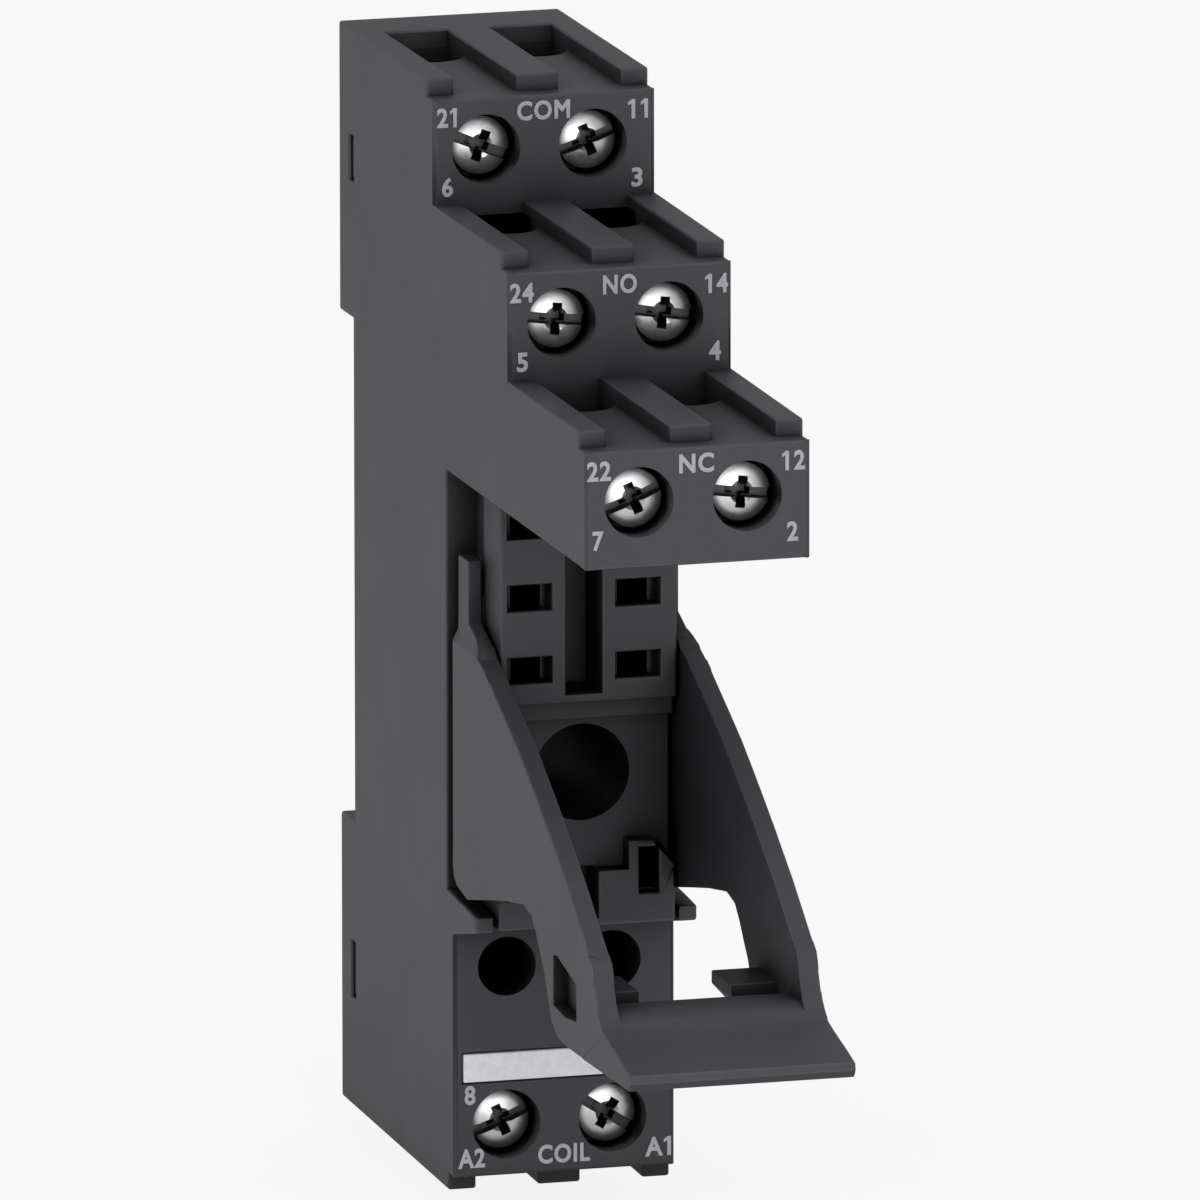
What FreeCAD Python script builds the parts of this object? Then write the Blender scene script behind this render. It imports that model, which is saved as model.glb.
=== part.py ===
import FreeCAD, Part
import os

# Rail-mounted relay socket: two change-over circuits and a coil, screw terminals.
# Millimetres, +Z up, +X right and the front towards -Y.  The origin is the middle of the
# face that seats on the 35 mm rail.
# Depths are first written as f, the distance forward of the back face, and heights as h,
# the distance above the foot of the back.  blk(), prism() and bar_y() turn them into X, Y, Z.

V = FreeCAD.Vector
os.makedirs("parts", exist_ok=True)

# overall
HALF_W = 7.8            # half the width of the moulding
WALL = 1.15             # side walls
FIT = 0.05              # between the cover and the housing
OVER = 0.1              # how far a cutting shape runs past a face
SEAT_F = 3.45           # depth of the rail recess
RAIL_LOW = 20.0         # lower lip of the rail recess
RAIL_TOP = RAIL_LOW + 35.1
MID_H = (RAIL_LOW + RAIL_TOP) / 2
TOP_H = 75.2

# terminal tiers, from the top down: front faces, then lower edges of the front plates
COM_F = 23.8
NO_F = COM_F + 18.5
NC_F = NO_F + 18.7
COM_LOW = TOP_H - 8.35
NO_LOW = COM_LOW - 8.55
NC_LOW = NO_LOW - 9.15
RIB_RISE = 1.15         # ribs above the ledge between them
SCREW_DROP = 3.55       # ledge to the screw's axis
LEDGE = 1.7             # how far each ledge stands in front of its ribs
COIL_F = 28.4           # front of the coil tier
COIL_LEDGE = 0.42       # under side of the coil plate and of the lower wire channels
COIL_RIB_BACK = -0.05   # the lower ribs slope down a little towards the front
COIL_RIB_FRONT = -0.7

POLE_X = 3.75           # terminal and contact columns, either side of POLE_MID
POLE_MID = -0.33        # the metal parts stand a little to the left of the moulding's middle
RIB_MID = 1.5           # half width of the middle rib
RIB_IN = 5.85           # inner face of the outer ribs
WIRE_BACK = 18.6        # wire hole, measured back from the tier's front
WIRE_FRONT = 13.1
COM_CHANNEL_F = 5.0     # the top tier's channels stop short of the back

# plug-in bay
SIDE_F = COM_F + 2.95   # where the outer side walls stop and the lever recess starts
BAY_X = 6.2             # half width of the bay block
NECK_X = 5.6            # half width of the bay block behind its flange
NECK_F = SIDE_F + 3.65
FLOOR_F = NECK_F + 2.4  # lower floor of the bay
STEP_F = FLOOR_F + 1.0
COIL_PAD_F = FLOOR_F + 1.4
SLOT_F = FLOOR_F + 1.8  # face with the contact slots
ROW_PITCH = 5.0
ROW_NO = NC_LOW - 2.45
ROWS = {"no": ROW_NO, "com": ROW_NO - ROW_PITCH, "nc": ROW_NO - 2 * ROW_PITCH}
SLOT_X = (2.25, 5.33)
SLOT_HALF_H = 0.9
SLOT_LOW = ROWS["nc"] - 2.4
STEP_LOW = SLOT_LOW - 1.3
COIL_SLOT_H = ROWS["nc"] - 14.35
COIL_SLOT_X = 4.7
BAY_LOW = COIL_SLOT_H - 3.65
NECK_LOW = COIL_SLOT_H + 3.65
KEY_X = 1.25            # half width of the polarising slot
WELL_H = SLOT_LOW - 5.2  # fixing screw
WELL_R = 3.35
FIX_R = 1.75
PLUG_R = 2.05           # two round holes under the bay
PLUG_X = 3.7
PLUG_H = BAY_LOW - 3.75
PLUG_BACK = COIL_F - 9.4

# screws, cages and bars, measured back from the tier's front
HEAD_SINK = 1.3
HEAD_T = 2.2
HEAD_R = 2.1
HEAD_WELL_R = HEAD_R + 0.3
SHANK_R = 1.42
THREAD_R = SHANK_R + 0.08
SHOULDER_R = SHANK_R + 0.23
CHAMBER_FRONT = 4.5
CHAMBER_BACK = 19.8
CHAMBER_X = (0.9, HALF_W - WALL - FIT)
BAR_FRONT = 12.1
BAR_BACK = BAR_FRONT + 0.8
BAR_HALF_X = 1.7
BAR_FOOT = 3.05         # screw axis to the far edge of the bar
BAR_NOSE = 2.3
CAGE_FRONT = 9.4
CAGE_BACK = 19.6
CAGE_NUT = 1.6          # threaded wall
CAGE_WALL = 0.7
CAGE_HALF_X = 2.6
CAGE_HALF_H = 2.0
STRIP_T = 0.6
STRIP_X = {"no": POLE_X - 2.15, "com": POLE_X, "nc": POLE_X + 2.15, "coil": COIL_SLOT_X}
FORK_FRONT = SIDE_F - 0.95  # back plate of each fork, seated on the housing at its front
FORK_BACK = FORK_FRONT - 0.6
FORK_TIP = FORK_FRONT + 4.7
LEAF_T = 0.4
FORK_ROOM_X = (2.7, 4.8)

# angle of each screw's recess in the photograph, anticlockwise seen from the front
TERMINALS = {
    "21": ("com", -1, -22), "11": ("com", 1, 20),
    "24": ("no", -1, -6), "14": ("no", 1, -8),
    "22": ("nc", -1, 22), "12": ("nc", 1, -6),
    "a2": ("coil", -1, 22), "a1": ("coil", 1, -32),
}

# rear cover
COVER_X = HALF_W - WALL - FIT
COVER_T = 1.6
COVER_MID_F = 5.0       # front of the plate between the two lips of the rail recess
COVER_TOP = TOP_H - 1.0
COVER_SHELF = RAIL_TOP + 3.0
COVER_LOW = 0.9
COVER_LOW_F = (3.2, 4.6)
CATCHES = ((COM_LOW - 2.25, COM_LOW + 0.9), (7.5, 11.4))
CATCH_F = (2.45, 3.65)

# lever
ARM_OUT = HALF_W
ARM_IN = 6.4
ARM_NECK = 7.4          # outer face of the arms' upper ends
PIVOT_F = SIDE_F + 2.45
PIVOT_H = NC_LOW - 7.25
PIN_R = 1.0
PIN_IN = 5.45           # inner end of each pin
PIN_CLEAR = 0.05

# marker strip
MARK_X = 7.1
MARK_LOW = COIL_LEDGE + SCREW_DROP + 3.05
MARK_H = 1.95
MARK_DEEP = 0.7
MARK_PROUD = 0.1

# rail foot and its spring
FOOT_X = 4.4
FOOT_F = (0.9, 2.9)
FOOT_TOP = RAIL_LOW - 1.7
RUNNER_X = FOOT_X + 1.0
SPRING_LOW = 7.9
SPRING_HIGH = SPRING_LOW + 6.1
SPRING_R = 0.95
SPRING_WIRE = 0.16
SPRING_TURNS = 6.0


def upper_tier(front, back, rib, low):
    ledge = rib - RIB_RISE
    return dict(front=front, back=back, rib=rib, low=low, ledge=ledge,
                screw=ledge - SCREW_DROP, up=1)


TIERS = {
    "com": upper_tier(COM_F, 0.0, TOP_H, COM_LOW),
    "no": upper_tier(NO_F, COM_F, COM_LOW, NO_LOW),
    "nc": upper_tier(NC_F, NO_F, NO_LOW, NC_LOW),
}
COIL = dict(front=COIL_F, screw=COIL_LEDGE + SCREW_DROP, up=-1)
LEVELS = dict(TIERS, coil=COIL)


def y_of(f):
    return SEAT_F - f


def z_of(h):
    return h - MID_H


def blk(x0, x1, f0, f1, h0, h1):
    """A box between two sides, two depths and two heights."""
    return Part.makeBox(x1 - x0, f1 - f0, h1 - h0, V(x0, y_of(f1), z_of(h0)))


def prism(points, x0, x1):
    """A profile of (f, h) points, stretched from x0 to x1."""
    vs = [V(x0, y_of(f), z_of(h)) for f, h in points]
    return Part.Face(Part.makePolygon(vs + vs[:1])).extrude(V(x1 - x0, 0, 0))


def plate_xh(points, f0, f1):
    """A profile of (x, h) points, stretched from depth f0 to f1."""
    vs = [V(x, y_of(f0), z_of(h)) for x, h in points]
    return Part.Face(Part.makePolygon(vs + vs[:1])).extrude(V(0, f0 - f1, 0))


def bar_y(r, f0, f1, x, h):
    """A round bar along the depth."""
    return Part.makeCylinder(r, f1 - f0, V(x, y_of(f1), z_of(h)), V(0, 1, 0))


def bar_z(r, h0, h1, x, f):
    """An upright round bar."""
    return Part.makeCylinder(r, h1 - h0, V(x, y_of(f), z_of(h0)), V(0, 0, 1))


def bar_x(r, x0, x1, f, h):
    """A round bar across the width."""
    return Part.makeCylinder(r, x1 - x0, V(x0, y_of(f), z_of(h)), V(1, 0, 0))


def mirrored(shape):
    return shape.mirror(V(0, 0, 0), V(1, 0, 0))


def both(shape):
    return [shape, mirrored(shape)]


def pair(shape):
    """A feature of the right pole and its twin, about the middle of the metal parts."""
    shapes = both(shape)
    for s in shapes:
        s.translate(V(POLE_MID, 0, 0))
    return shapes


def join(shapes):
    return shapes[0].fuse(shapes[1:])


def fillet_where(shape, radius, test):
    """Round the straight edges that pass the test."""
    edges = [e for e in shape.Edges if isinstance(e.Curve, Part.Line) and test(e)]
    return shape.makeFillet(radius, edges)


def housing_body():
    """Outer form: stepped tiers at full width, narrower bay block, coil tier."""
    spur_top = [(SIDE_F, RAIL_LOW + 0.2), (SIDE_F + 1.3, RAIL_LOW + 0.05),
                (SIDE_F + 4.6, RAIL_LOW - 0.15), (SIDE_F + 7.15, RAIL_LOW - 0.35)]
    spur_foot = [(SIDE_F + 7.15, RAIL_LOW - 1.4), (COIL_F, RAIL_LOW - 2.6)]
    side = [(0, RAIL_TOP), (0, TOP_H)]
    for t in TIERS.values():
        side += [(t["front"] - LEDGE, t["rib"]), (t["front"] - LEDGE, t["ledge"]),
                 (t["front"], t["ledge"]), (t["front"], t["low"])]
    side += [(SIDE_F, NC_LOW)] + spur_top + spur_foot
    side += [(COIL_F, COIL_LEDGE), (COIL_F - LEDGE + 0.4, COIL_LEDGE),
             (COIL_F - LEDGE + 0.4, COIL_RIB_FRONT), (0, COIL_RIB_BACK), (0, RAIL_LOW),
             (SEAT_F, RAIL_LOW), (SEAT_F, RAIL_TOP)]
    body = prism(side, -HALF_W, HALF_W)
    # between the two side spurs the recess opens down to the coil tier
    gap = prism([(SIDE_F, RAIL_LOW + 1), (SLOT_F + 2, RAIL_LOW + 1), (SLOT_F + 2, PLUG_H + 1),
                 (COIL_F, PLUG_H + 1), (COIL_F, BAY_LOW), (SIDE_F, BAY_LOW)],
                -BAY_X - 0.3, BAY_X + 0.3)
    body = body.cut(gap)
    root = SIDE_F - 6.75
    bay = [(root, NC_LOW + 0.85), (SLOT_F, NC_LOW + 0.85), (SLOT_F, SLOT_LOW),
           (STEP_F, SLOT_LOW), (STEP_F, STEP_LOW), (FLOOR_F, STEP_LOW), (FLOOR_F, BAY_LOW),
           (root, BAY_LOW)]
    block = prism(bay, -BAY_X, BAY_X)
    block = block.cut(both(blk(NECK_X, BAY_X + 0.5, SIDE_F, NECK_F, NECK_LOW, NC_LOW)))
    pads = [blk(-BAY_X, BAY_X, FLOOR_F - 1, COIL_PAD_F, BAY_LOW, COIL_SLOT_H + 0.15)]
    boss = plate_xh([(2.9, COIL_SLOT_H - 0.4), (2.9, COIL_SLOT_H + 2.1),
                     (COIL_SLOT_X, COIL_SLOT_H + 2.1), (BAY_X, COIL_SLOT_H + 0.1),
                     (BAY_X, COIL_SLOT_H - 0.4)], FLOOR_F - 1, COIL_PAD_F)
    pads += both(boss)
    # stops behind the arms, hidden by them
    stops = both(blk(NECK_X - 0.2, ARM_OUT - 0.7, SIDE_F - 1, PIVOT_F - 0.95,
                     COIL_SLOT_H + 0.15, COIL_SLOT_H + 3.15))
    return join([body, block] + pads + stops)


def wire_channels():
    """Channels between the ribs on each ledge and the wire holes, round in front, in them."""
    cuts = []
    mid, r = (RIB_MID + RIB_IN) / 2, (RIB_IN - RIB_MID) / 2
    for name, t in TIERS.items():
        front = t["front"]
        start = COM_CHANNEL_F if name == "com" else t["back"]
        cuts += both(blk(RIB_MID, RIB_IN, start, front + OVER, t["ledge"], t["rib"] + OVER))
        lo, hi = max(front - WIRE_BACK, start), front - WIRE_FRONT - r
        cuts += both(blk(RIB_MID, RIB_IN, lo, hi, t["screw"], t["ledge"] + OVER))
        cuts += both(bar_z(r, t["screw"], t["ledge"] + OVER, mid, hi))
    lo, hi = COIL_F - WIRE_BACK, COIL_F - WIRE_FRONT - r
    under = COIL_RIB_FRONT - OVER
    cuts += both(blk(RIB_MID, RIB_IN, lo, COIL_F + OVER, under, COIL_LEDGE))
    cuts += both(blk(RIB_MID, RIB_IN, lo, hi, under, COIL["screw"]))
    cuts += both(bar_z(r, under, COIL["screw"], mid, hi))
    return cuts


def terminal_chambers():
    """Screw wells, shank holes and the chambers that guide the cages."""
    cuts = []
    far, near = BAR_FOOT + 0.1, BAR_NOSE + 0.1
    for t in LEVELS.values():
        front, hs, up = t["front"], t["screw"], t["up"]
        seat = front - HEAD_SINK - HEAD_T
        cuts += pair(bar_y(HEAD_WELL_R, seat, front + OVER, POLE_X, hs))
        cuts += pair(bar_y(SHOULDER_R, front - CHAMBER_FRONT - OVER, seat + OVER, POLE_X, hs))
        lo, hi = (hs - far, hs + near) if up > 0 else (hs - near, hs + far)
        cuts += pair(blk(CHAMBER_X[0], CHAMBER_X[1], front - CHAMBER_BACK,
                         front - CHAMBER_FRONT, lo, hi))
    return cuts


def inner_cavities():
    """Room for the contact strips behind the bay, one side of the middle wall at a time."""
    cuts = []
    x0, x1 = 0.7, COVER_X + FIT
    back = COVER_MID_F + FIT
    com, coil = TIERS["com"]["screw"], COIL["screw"]
    cuts += both(blk(x0, x1, back, FORK_FRONT, ROWS["nc"] - 1.5, COM_LOW - 0.85))
    cuts += both(blk(x0, x1, COVER_T + FIT, back + 4.95, COVER_SHELF, com + 2.5))
    cuts += both(blk(x0, x1, COM_F - CHAMBER_BACK - OVER, COM_F - 4.8, COM_LOW - 4.85,
                     com - 2.5))
    cuts += both(blk(x0, x1, FORK_BACK - 0.4, NO_F - 0.8, NC_LOW + 1.25, NO_LOW - 1.1))
    cuts += both(blk(x0, x1, COVER_LOW_F[1] + FIT, FORK_FRONT, coil + 2.0,
                     COIL_SLOT_H + 1.9))
    # fork rooms and the slots that the relay's blades enter
    for h in ROWS.values():
        cuts += pair(blk(FORK_ROOM_X[0], FORK_ROOM_X[1], FORK_FRONT - OVER, SLOT_F - 1.3,
                         h - 1.15, h + 1.15))
        cuts += pair(blk(SLOT_X[0], SLOT_X[1], SLOT_F - 1.4, SLOT_F + OVER,
                         h - SLOT_HALF_H, h + SLOT_HALF_H))
    cuts += pair(blk(COIL_SLOT_X - 0.85, COIL_SLOT_X + 0.85, FORK_FRONT - OVER,
                     COIL_PAD_F - 1.2, COIL_SLOT_H - 1.5, COIL_SLOT_H + 1.5))
    cuts += pair(blk(COIL_SLOT_X - 0.7, COIL_SLOT_X + 0.7, COIL_PAD_F - 1.3,
                     COIL_PAD_F + OVER, COIL_SLOT_H - 1.6, COIL_SLOT_H + 1.6))
    # polarising slots in the middle of the bay
    k0, k1 = POLE_MID - KEY_X, POLE_MID + KEY_X
    cuts.append(blk(k0, k1, SLOT_F - 4.0, SLOT_F + OVER, SLOT_LOW + 0.6, NC_LOW))
    cuts.append(blk(k0 + 0.15, k1 - 0.15, COIL_PAD_F - 3.0, COIL_PAD_F + OVER,
                    COIL_SLOT_H - 3.1, COIL_SLOT_H + 0.2))
    return cuts


def cover_pocket():
    """Seat of the rear cover, opening for the rail foot, windows for the catches."""
    x = COVER_X + FIT
    cuts = [blk(-x, x, -OVER, COVER_T + FIT, RAIL_TOP - OVER, COVER_TOP + FIT),
            blk(-x, x, -OVER, COVER_MID_F + FIT, RAIL_TOP - OVER, COVER_SHELF + FIT),
            blk(-x, x, SEAT_F - OVER, COVER_MID_F + FIT, RAIL_LOW - 1.0, RAIL_TOP + 0.5),
            blk(-x, x, -OVER, COVER_LOW_F[1] + FIT, COVER_LOW - FIT, RAIL_LOW + 0.5),
            blk(-FOOT_X - 0.5, FOOT_X + 0.5, -OVER, COVER_LOW_F[0] + FIT,
                COIL_RIB_FRONT - 0.3, COVER_LOW + OVER)]
    for h0, h1 in CATCHES:
        cuts += both(blk(x - 0.15, HALF_W + OVER, CATCH_F[0], CATCH_F[1], h0, h1))
    return cuts


def make_housing():
    body = housing_body()
    body = body.cut(wire_channels() + terminal_chambers() + inner_cavities() + cover_pocket())
    # sleeves around the fixing screw's well and the two round holes, and the wall between
    inner = COVER_MID_F + FIT
    sleeve = bar_y(WELL_R + 0.9, inner, FORK_FRONT + 0.5, 0, WELL_H)
    sleeves = pair(bar_y(PLUG_R + 0.75, PLUG_BACK, FORK_FRONT + 0.5, PLUG_X, PLUG_H))
    wall = blk(-0.75, 0.75, inner, FORK_FRONT + 0.5, COIL_SLOT_H + 1.7, ROWS["nc"] - 1.2)
    body = body.fuse([sleeve, wall] + sleeves)
    body = body.cut([bar_y(WELL_R, 0.0, FLOOR_F + OVER, 0, WELL_H)]
                    + pair(bar_y(PLUG_R, PLUG_BACK - OVER, COIL_F + OVER, PLUG_X, PLUG_H))
                    + [blk(-MARK_X - FIT, MARK_X + FIT, COIL_F - MARK_DEEP, COIL_F + OVER,
                           MARK_LOW - FIT, MARK_LOW + MARK_H + FIT)])
    # pivot holes for the lever
    body = body.cut(both(bar_x(PIN_R + PIN_CLEAR, PIN_IN - OVER, BAY_X + OVER,
                               PIVOT_F, PIVOT_H)))
    body = body.removeSplitter()
    front_faces = [y_of(t["front"]) for t in LEVELS.values()]

    def outer_corner(e):
        a, b = e.Vertexes[0].Point, e.Vertexes[-1].Point
        upright = abs(a.z - b.z) > 5 and abs(a.x - b.x) < 1e-6 and abs(a.y - b.y) < 1e-6
        return (upright and abs(abs(a.x) - HALF_W) < 1e-6
                and min(abs(a.y - y) for y in front_faces) < 1e-6)
    return fillet_where(body, 0.3, outer_corner)


def make_cover():
    """Back cover: closes the housing, hooks over the rail and guides the rail foot."""
    low_back, low_front = COVER_LOW_F
    seat_low, seat_high = RAIL_LOW + 1.6, RAIL_TOP - 1.7
    parts = [blk(-COVER_X, COVER_X, 0.0, COVER_T, RAIL_TOP, COVER_TOP),
             blk(-COVER_X, COVER_X, 0.0, COVER_MID_F, RAIL_TOP, COVER_SHELF),
             # fixed hook over the rail's upper edge
             blk(-5.0, 5.0, 0.4, 2.25, RAIL_TOP - 1.2, RAIL_TOP + 0.5),
             # the plate behind the rail, with the pad that touches it
             blk(-COVER_X, COVER_X, SEAT_F + 0.1, COVER_MID_F, RAIL_LOW - 1.0, RAIL_TOP + 0.5),
             blk(-COVER_X + 0.6, COVER_X - 0.6, SEAT_F, COVER_MID_F, seat_low, seat_high),
             blk(-COVER_X, COVER_X, low_back, low_front, COVER_LOW, RAIL_LOW)]
    parts += both(blk(FOOT_X + 0.2, COVER_X, 0.0, low_back + 0.4, COVER_LOW, RAIL_LOW - FIT))
    # catches in the housing's windows
    for h0, h1 in CATCHES:
        low, high = h0 + FIT, h1 - FIT
        parts += both(blk(FOOT_X + 1.1, COVER_X, 1.0, CATCH_F[1] - FIT, low, high))
        parts += both(blk(COVER_X - 0.1, HALF_W - 0.25, CATCH_F[0] + FIT, CATCH_F[1] - FIT,
                          low, high))
    parts.append(bar_y(WELL_R - 0.1, COVER_MID_F - 0.5, COVER_MID_F + 3.0, 0, WELL_H))
    body = join(parts)
    cuts = both(blk(FOOT_X + 0.1, RUNNER_X + 0.1, FOOT_F[1] - 1.2, low_back, COVER_LOW - OVER,
                    FOOT_TOP + FIT))
    cuts.append(blk(-FOOT_X - 0.2, FOOT_X + 0.2, -OVER, low_back, SPRING_LOW + 0.1,
                    RAIL_LOW + 1.0))
    cuts.append(bar_y(FIX_R, SEAT_F - 0.4, COVER_MID_F + 3.0 + OVER, 0, WELL_H))
    # lightening pockets in the back of the upper part
    cuts += both(blk(1.2, COVER_X - 1.2, -OVER, 0.7, COVER_SHELF + 1.4, COVER_TOP - 1.7))
    body = body.cut(cuts)
    # peg under the foot's spring
    peg = blk(-1.1, 1.1, FOOT_F[0], low_back + 0.1, SPRING_LOW - 1.0, SPRING_LOW)
    return body.fuse(peg).removeSplitter()


def make_foot():
    """Sprung slide that grips the lower edge of the rail; pulled down by its slotted tab."""
    back, front = FOOT_F
    lip = FOOT_TOP - 0.3
    parts = [blk(-FOOT_X, FOOT_X, back, front, COIL_RIB_FRONT - 1.7, FOOT_TOP),
             prism([(back, lip), (front - 0.65, lip), (front - 0.65, RAIL_LOW + 1.1),
                    (back, RAIL_LOW - 0.6)], -FOOT_X, FOOT_X)]
    parts += both(blk(FOOT_X - 0.1, RUNNER_X, front - 1.1, front, SPRING_LOW - 3.4, FOOT_TOP))
    body = join(parts)
    window = blk(-1.3, 1.3, back - OVER, front + OVER, SPRING_LOW - 4.7, SPRING_HIGH + FIT)
    slot = blk(-2.2, 2.2, back - OVER, front + OVER, COIL_RIB_FRONT - 0.8,
               COIL_RIB_FRONT + 0.2)
    return body.cut([window, slot]).removeSplitter()


def make_spring():
    """Round-wire compression spring between the cover's peg and the foot."""
    height = SPRING_HIGH - SPRING_LOW - 2 * SPRING_WIRE
    helix = Part.makeHelix(height / SPRING_TURNS, height, SPRING_R)
    start = V(SPRING_R, 0, 0)
    ring = Part.Wire(Part.Edge(Part.Circle(start, V(0, 1, 0), SPRING_WIRE)))
    coil = Part.Wire(helix).makePipeShell([ring], True, True)
    coil.translate(V(0, y_of(sum(FOOT_F) / 2 + FIT), z_of(SPRING_LOW) + SPRING_WIRE))
    return coil


def make_screw(name):
    """Round head with a slot and a cross in it, plain shank at the thread's outer size."""
    level, side, turn = TERMINALS[name]
    t = LEVELS[level]
    f_head = t["front"] - HEAD_SINK
    x, h = POLE_MID + side * POLE_X, t["screw"]
    crown_t = 0.35
    head = bar_y(HEAD_R, f_head - HEAD_T, f_head - crown_t, x, h)
    crown = Part.makeCone(HEAD_R, HEAD_R - 0.5, crown_t, V(x, y_of(f_head - crown_t), z_of(h)),
                          V(0, -1, 0))
    shank = bar_y(SHANK_R, t["front"] - BAR_FRONT + FIT, f_head - HEAD_T + OVER, x, h)
    body = join([head, crown, shank])
    arm, half, deep = HEAD_R - 0.8, 0.36, f_head - 1.5
    slot = blk(-HEAD_R - 0.3, HEAD_R + 0.3, f_head - 0.75, f_head + OVER,
               MID_H - 0.32, MID_H + 0.32)
    cross = [blk(-arm, arm, deep, f_head + OVER, MID_H - half, MID_H + half),
             blk(-half, half, deep, f_head + OVER, MID_H - arm, MID_H + arm)]
    tool = join([slot] + cross)
    tool.rotate(V(0, 0, 0), V(0, -1, 0), turn)
    tool.translate(V(x, 0, z_of(h)))
    return body.cut(tool).removeSplitter()


def make_cage(name):
    """Steel cage around the bar; its threaded wall rides along the screw."""
    level, side, _ = TERMINALS[name]
    t = LEVELS[level]
    x, h, front = POLE_MID + side * POLE_X, t["screw"], t["front"]
    outer = blk(x - CAGE_HALF_X, x + CAGE_HALF_X, front - CAGE_BACK, front - CAGE_FRONT,
                h - CAGE_HALF_H, h + CAGE_HALF_H)
    inner = blk(x - CAGE_HALF_X + CAGE_WALL, x + CAGE_HALF_X - CAGE_WALL,
                front - CAGE_BACK + 1.0, front - CAGE_FRONT - CAGE_NUT,
                h - CAGE_HALF_H - OVER, h + CAGE_HALF_H + OVER)
    bore = bar_y(THREAD_R, front - CAGE_FRONT - CAGE_NUT - OVER, front - CAGE_FRONT + OVER,
                 x, h)

    def long_corner(e):
        a, b = e.Vertexes[0].Point, e.Vertexes[-1].Point
        return abs(a.z - b.z) > 3 and abs(a.x - b.x) < 1e-6 and abs(a.y - b.y) < 1e-6
    return fillet_where(outer, 0.35, long_corner).cut([inner, bore]).removeSplitter()


def make_strip(name):
    """Brass strip: the bar that the wire is pulled against, a web, and the relay's fork."""
    level, side, _ = TERMINALS[name]
    t = LEVELS[level]
    front, hs = t["front"], t["screw"]
    f0, f1 = front - BAR_BACK, front - BAR_FRONT
    xs = STRIP_X[level]
    w0, w1 = xs - STRIP_T / 2, xs + STRIP_T / 2
    b0, b1 = POLE_X - BAR_HALF_X, POLE_X + BAR_HALF_X
    leaf_f = FORK_FRONT - OVER
    if level == "coil":
        bar = blk(b0, b1, f0, f1, hs - BAR_NOSE, hs + BAR_FOOT)
        low, high = COIL_SLOT_H - 1.2, COIL_SLOT_H + 1.0
        web = [(f0, hs + 2.2), (f0 + 3.0, hs + 2.2), (f0 + 3.0, low), (FORK_FRONT, low),
               (FORK_FRONT, high), (f0, high)]
        fork = blk(xs - 0.75, xs + 0.75, FORK_BACK, FORK_FRONT, COIL_SLOT_H - 1.8,
                   COIL_SLOT_H + 1.8)
        leaves = [blk(xs + a, xs + a + LEAF_T, leaf_f, FORK_TIP, COIL_SLOT_H - 1.2,
                      COIL_SLOT_H + 1.2) for a in (-0.7, 0.3)]
    else:
        row = ROWS[level]
        bar = blk(b0, b1, f0, f1, hs - BAR_FOOT, hs + BAR_NOSE)
        low, high = row - 1.1, row + 1.1
        foot = hs - BAR_FOOT + 0.9
        if level == "com":
            down = f0 + 3.0
            web = [(f0, foot), (down, foot), (down, high), (FORK_FRONT, high),
                   (FORK_FRONT, low), (f0, low)]
        else:
            down = FORK_BACK - {"no": 5.2, "nc": 1.0}[level]
            back = down - 3.1
            web = [(back, foot), (f1, foot), (f1, hs - BAR_FOOT), (down, hs - BAR_FOOT),
                   (down, high), (FORK_FRONT, high), (FORK_FRONT, low), (back, low)]
        reach = sorted((w0, w1, POLE_X - 1.0, POLE_X + 1.0))
        fork = blk(reach[0], reach[-1], FORK_BACK, FORK_FRONT, row - 0.9, row + 0.9)
        leaves = [blk(POLE_X - 1.0, POLE_X + 1.0, leaf_f, FORK_TIP, row + a,
                      row + a + LEAF_T) for a in (-0.7, 0.3)]
        # foot that joins the bar to a web standing beside it
        bar = bar.fuse(blk(min(w0, b0), max(w1, b1), f0, f1, hs - BAR_FOOT, foot))
    return pair(join([bar, prism(web, w0, w1), fork] + leaves).removeSplitter())[side < 0]


def from_pivot(points):
    """Lever outlines are written as forward and down from the pivot."""
    return [(PIVOT_F + f, PIVOT_H - d) for f, d in points]


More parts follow.
